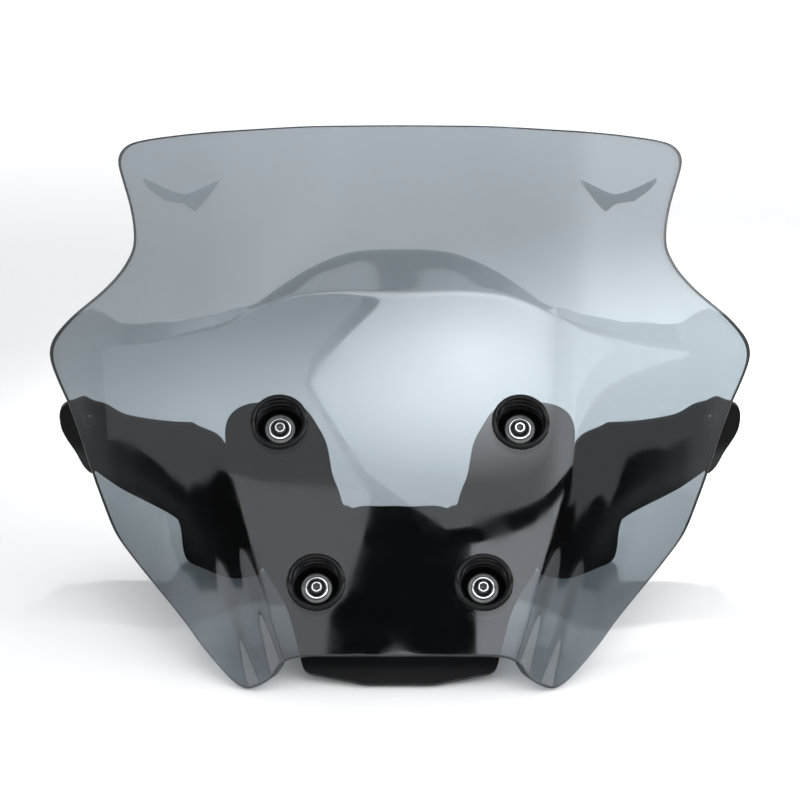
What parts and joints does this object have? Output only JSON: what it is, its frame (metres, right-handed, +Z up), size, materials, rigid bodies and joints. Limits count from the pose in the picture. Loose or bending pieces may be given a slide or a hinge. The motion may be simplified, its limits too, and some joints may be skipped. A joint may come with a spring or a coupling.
{
  "type": "motorcycle windshield screen",
  "caption": "Smoke-tinted motorcycle windshield screen on rubber-cupped fixings, with a U-shaped carrier that slides on rails in a fixed frame with two side wings.",
  "frame": {"origin": "centre of the base of the bounding box, on the surface the assembly stands on", "axes": "+X across the screen to the right-hand side seen from the front, +Y rearward towards the rider, +Z up; the screen leans back 48 degrees from vertical"},
  "size_m": [0.4248, 0.2404, 0.2536],
  "materials": {
    "smoke_sheet": "clear smoke tint, polished",
    "cup_rubber": "semi-gloss moulded rubber",
    "washer_steel": "zinc grey",
    "screw_steel": "bright nickel",
    "sleeve_steel": "turned",
    "insert_brass": "knurled",
    "black_plastic": "fine moulded texture",
    "frame_plastic": "fine moulded texture",
    "shoe_plastic": "natural acetal",
    "rail_steel": "hard chrome ground",
    "black_screw": "black oxide",
    "buffer_rubber": "matte",
    "lever_alloy": "bead-blasted",
    "pad_rubber": "matte",
    "spring_steel": "drawn wire"
  },
  "bodies": {
    "base": {"base_frame": "frame_plastic", "guide_rail_left": "rail_steel", "guide_rail_right": "rail_steel", "stop_buffers": "buffer_rubber", "mount_bushes": "sleeve_steel", "side_wing_left": "black_plastic", "side_wing_right": "black_plastic", "tip_grommets": "buffer_rubber", "wing_screws": "black_screw", "wing_nuts": "washer_steel"},
    "screen_carrier": {"carrier_plate": "black_plastic", "cup_washers": "washer_steel", "grommet_cups": "cup_rubber", "lever_pin": "rail_steel", "lever_spring": "spring_steel", "screen_screws": "screw_steel", "shoe_screws": "black_screw", "slide_shoe_left": "shoe_plastic", "slide_shoe_right": "shoe_plastic", "spacer_sleeves": "sleeve_steel", "threaded_inserts": "insert_brass", "windscreen": "smoke_sheet"},
    "lever": {"release_lever": "lever_alloy", "brake_pad": "pad_rubber"}
  },
  "joints": [
    {"name": "height_slide", "type": "slide", "parent": "base", "child": "screen_carrier", "axis": [0, 0.7431, 0.6691], "range_m": [0, 0.042]},
    {"name": "lever_hinge", "type": "hinge", "parent": "screen_carrier", "child": "lever", "pos_m": [0.014, -0.07142, 0.02975], "axis": [0, -0.6691, 0.7431], "range_deg": [0, 10], "stiffness_Nm_per_rad": 0.05, "springref_deg": -20.05, "deforming": ["lever_spring"]}
  ]
}
